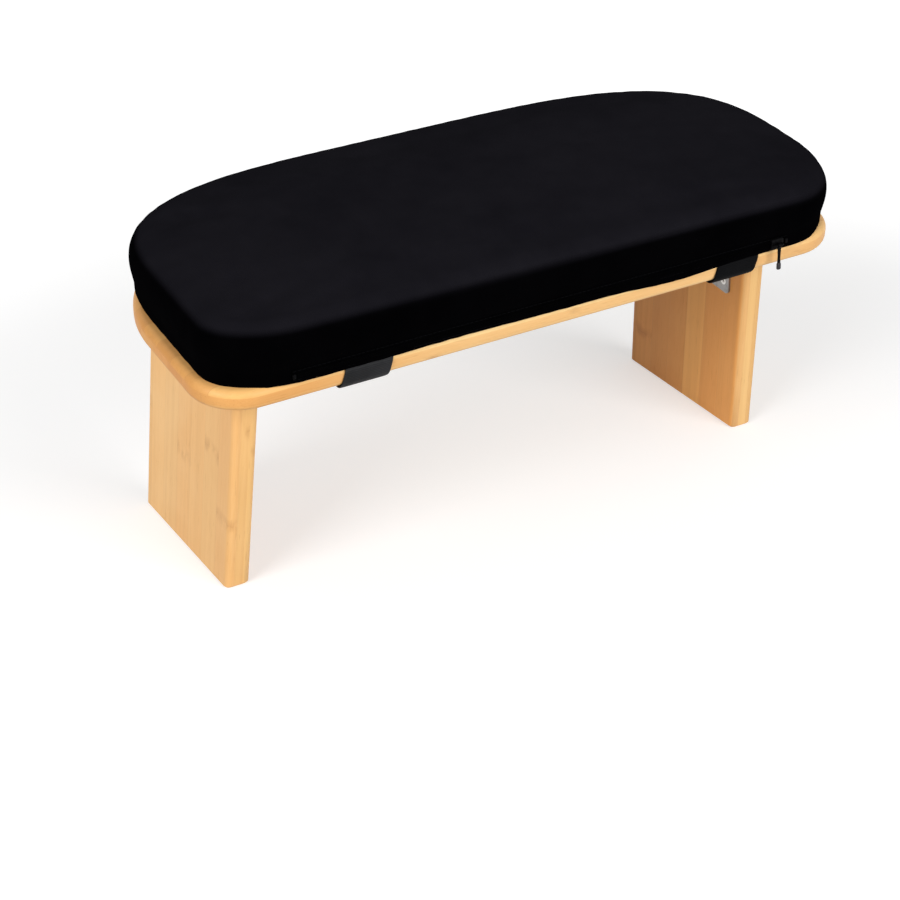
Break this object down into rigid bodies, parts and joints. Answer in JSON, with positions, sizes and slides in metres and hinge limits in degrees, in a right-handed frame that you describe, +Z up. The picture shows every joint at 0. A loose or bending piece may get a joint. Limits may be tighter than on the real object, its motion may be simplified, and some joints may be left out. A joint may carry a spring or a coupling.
{
  "type": "folding kneeling bench",
  "caption": "Low kneeling bench with a tilted bamboo seat, splayed board legs that fold flat on hinges, and a zipped, strapped-on cushion.",
  "frame": {"origin": "on the ground under the middle of the bench's box", "axes": "+X along the seat, -Y towards the low side of the seat, +Z up"},
  "size_m": [0.46, 0.2088, 0.2295],
  "materials": {
    "bamboo": "satin",
    "hinge_steel": "satin",
    "screw_steel": "satin",
    "foam": "matte",
    "cover_cloth": "matte",
    "strap_webbing": "satin",
    "hook_tape": "matte",
    "zip_tape": "matte",
    "zip_metal": "satin"
  },
  "bodies": {
    "seat": {"seat_board": "bamboo", "foam_core": "foam", "cushion_cover": "cover_cloth", "cushion_base_panel": "cover_cloth", "near_left_strap": "strap_webbing", "near_right_strap": "strap_webbing", "far_left_strap": "strap_webbing", "far_right_strap": "strap_webbing", "fastening_patches": "hook_tape", "zip_chain": "zip_tape", "zip_end_stops": "zip_metal", "front_left_seat_leaf": "hinge_steel", "front_left_hinge_pin": "hinge_steel", "rear_left_seat_leaf": "hinge_steel", "rear_left_hinge_pin": "hinge_steel", "front_right_seat_leaf": "hinge_steel", "front_right_hinge_pin": "hinge_steel", "rear_right_seat_leaf": "hinge_steel", "rear_right_hinge_pin": "hinge_steel", "left_seat_screws": "screw_steel", "right_seat_screws": "screw_steel"},
    "left_leg": {"left_leg": "bamboo", "front_left_leg_leaf": "hinge_steel", "rear_left_leg_leaf": "hinge_steel", "left_leg_screws": "screw_steel"},
    "right_leg": {"right_leg": "bamboo", "front_right_leg_leaf": "hinge_steel", "rear_right_leg_leaf": "hinge_steel", "right_leg_screws": "screw_steel"},
    "zip_slider": {"zip_slider": "zip_metal"},
    "zip_pull": {"zip_pull": "zip_metal"}
  },
  "joints": [
    {"name": "left_leg_fold", "type": "hinge", "parent": "seat", "child": "left_leg", "pos_m": [-0.176, 0.01112, 0.16445], "axis": [0, -0.9945, -0.1045], "range_deg": [0, 93.7]},
    {"name": "right_leg_fold", "type": "hinge", "parent": "seat", "child": "right_leg", "pos_m": [0.176, 0.01112, 0.16445], "axis": [0, 0.9945, 0.1045], "range_deg": [0, 93.7]},
    {"name": "zip_slide", "type": "slide", "parent": "seat", "child": "zip_slider", "axis": [-1, 0, 0], "range_m": [0, 0.335]},
    {"name": "zip_pull_swing", "type": "hinge", "parent": "zip_slider", "child": "zip_pull", "pos_m": [0.169, -0.10245, 0.17443], "axis": [-1, 0, 0], "range_deg": [-10, 120]}
  ]
}
